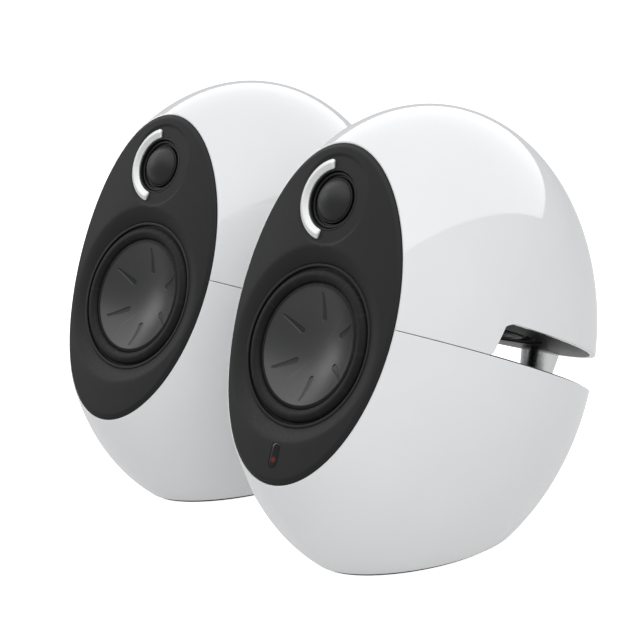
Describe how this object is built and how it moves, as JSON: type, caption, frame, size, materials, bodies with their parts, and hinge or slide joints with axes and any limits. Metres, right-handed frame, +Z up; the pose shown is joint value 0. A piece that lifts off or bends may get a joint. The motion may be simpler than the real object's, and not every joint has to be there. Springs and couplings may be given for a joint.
{
  "type": "desktop speaker pair",
  "caption": "Egg-shaped powered stereo desktop speakers with a raked oval front, woofer and dome tweeter, and facing passive radiators in a slot at the rear.",
  "frame": {"origin": "middle of the pair's footprint, on the table", "axes": "+X to the listener's right, from the left speaker to the right one; -Y towards the listener; +Z up"},
  "size_m": [0.3038, 0.25, 0.2168],
  "materials": {
    "white_gloss": "high gloss lacquered white",
    "panel_black": "fine matte charcoal",
    "moulded_black": "moulded black",
    "roll_rubber": "soft black rubber",
    "foot_rubber": "dark rubber",
    "cone_grey": "satin grey",
    "dome_silk": "coated black silk",
    "spider_cloth": "treated cloth",
    "coil_copper": "enamelled copper",
    "zinc_steel": "zinc plated",
    "magnet_ferrite": "sintered ferrite",
    "trim_silver": "satin silver",
    "pillar_metal": "turned and brushed",
    "radiator_black": "satin black",
    "board_green": "solder mask",
    "socket_black": "moulded black",
    "window_gloss": "smoked gloss",
    "lamp_red": "red lens"
  },
  "bodies": {
    "right_cabinet": {"right_upper_shell": "white_gloss", "right_lower_shell": "white_gloss", "right_foot_pad": "foot_rubber", "right_front_panel": "panel_black", "right_woofer_basket": "moulded_black", "right_woofer_screws": "zinc_steel", "right_woofer_surround": "roll_rubber", "right_woofer_spider": "spider_cloth", "right_woofer_top_plate": "zinc_steel", "right_woofer_magnet": "magnet_ferrite", "right_woofer_yoke": "zinc_steel", "right_tweeter_faceplate": "moulded_black", "right_tweeter_magnet": "magnet_ferrite", "right_tweeter_cup": "zinc_steel", "right_tweeter_trim": "trim_silver", "right_upper_deck": "moulded_black", "right_lower_deck": "moulded_black", "right_upper_radiator_surround": "roll_rubber", "right_lower_radiator_surround": "roll_rubber", "right_pillar": "pillar_metal", "right_link_socket": "socket_black", "right_amplifier_board": "board_green", "right_audio_jack": "socket_black", "right_power_inlet": "socket_black", "right_ir_window": "window_gloss", "right_power_lamp": "lamp_red"},
    "right_woofer": {"right_woofer_cone": "cone_grey", "right_woofer_coil": "coil_copper"},
    "right_tweeter": {"right_tweeter_dome": "dome_silk", "right_tweeter_coil": "coil_copper"},
    "right_upper_radiator": {"right_upper_radiator_plate": "radiator_black"},
    "right_lower_radiator": {"right_lower_radiator_plate": "radiator_black"},
    "left_cabinet": {"left_upper_shell": "white_gloss", "left_lower_shell": "white_gloss", "left_foot_pad": "foot_rubber", "left_front_panel": "panel_black", "left_woofer_basket": "moulded_black", "left_woofer_screws": "zinc_steel", "left_woofer_surround": "roll_rubber", "left_woofer_spider": "spider_cloth", "left_woofer_top_plate": "zinc_steel", "left_woofer_magnet": "magnet_ferrite", "left_woofer_yoke": "zinc_steel", "left_tweeter_faceplate": "moulded_black", "left_tweeter_magnet": "magnet_ferrite", "left_tweeter_cup": "zinc_steel", "left_tweeter_trim": "trim_silver", "left_upper_deck": "moulded_black", "left_lower_deck": "moulded_black", "left_upper_radiator_surround": "roll_rubber", "left_lower_radiator_surround": "roll_rubber", "left_pillar": "pillar_metal", "left_link_socket": "socket_black", "left_crossover_board": "board_green"},
    "left_woofer": {"left_woofer_cone": "cone_grey", "left_woofer_coil": "coil_copper"},
    "left_tweeter": {"left_tweeter_dome": "dome_silk", "left_tweeter_coil": "coil_copper"},
    "left_upper_radiator": {"left_upper_radiator_plate": "radiator_black"},
    "left_lower_radiator": {"left_lower_radiator_plate": "radiator_black"}
  },
  "joints": [
    {"name": "right_woofer_stroke", "type": "slide", "parent": "right_cabinet", "child": "right_woofer", "axis": [0, -0.9298, 0.3681], "range_m": [-0.003, 0.003], "stiffness_N_per_m": 700, "deforming": ["right_woofer_surround", "right_woofer_spider"]},
    {"name": "right_tweeter_stroke", "type": "slide", "parent": "right_cabinet", "child": "right_tweeter", "axis": [0, -0.9298, 0.3681], "range_m": [-0.0003, 0.0003], "stiffness_N_per_m": 300},
    {"name": "right_upper_radiator_stroke", "type": "slide", "parent": "right_cabinet", "child": "right_upper_radiator", "axis": [0, 0.3681, 0.9298], "range_m": [-0.004, 0.004], "stiffness_N_per_m": 500, "deforming": ["right_upper_radiator_surround"]},
    {"name": "right_lower_radiator_stroke", "type": "slide", "parent": "right_cabinet", "child": "right_lower_radiator", "axis": [0, 0.3681, 0.9298], "range_m": [-0.004, 0.004], "stiffness_N_per_m": 500, "deforming": ["right_lower_radiator_surround"]},
    {"name": "left_cabinet_placing", "type": "slide", "parent": "right_cabinet", "child": "left_cabinet", "axis": [-1, 0, 0], "range_m": [0, 0.5]},
    {"name": "left_woofer_stroke", "type": "slide", "parent": "left_cabinet", "child": "left_woofer", "axis": [0, -0.9298, 0.3681], "range_m": [-0.003, 0.003], "stiffness_N_per_m": 700, "deforming": ["left_woofer_surround", "left_woofer_spider"]},
    {"name": "left_tweeter_stroke", "type": "slide", "parent": "left_cabinet", "child": "left_tweeter", "axis": [0, -0.9298, 0.3681], "range_m": [-0.0003, 0.0003], "stiffness_N_per_m": 300},
    {"name": "left_upper_radiator_stroke", "type": "slide", "parent": "left_cabinet", "child": "left_upper_radiator", "axis": [0, 0.3681, 0.9298], "range_m": [-0.004, 0.004], "stiffness_N_per_m": 500, "deforming": ["left_upper_radiator_surround"]},
    {"name": "left_lower_radiator_stroke", "type": "slide", "parent": "left_cabinet", "child": "left_lower_radiator", "axis": [0, 0.3681, 0.9298], "range_m": [-0.004, 0.004], "stiffness_N_per_m": 500, "deforming": ["left_lower_radiator_surround"]}
  ]
}
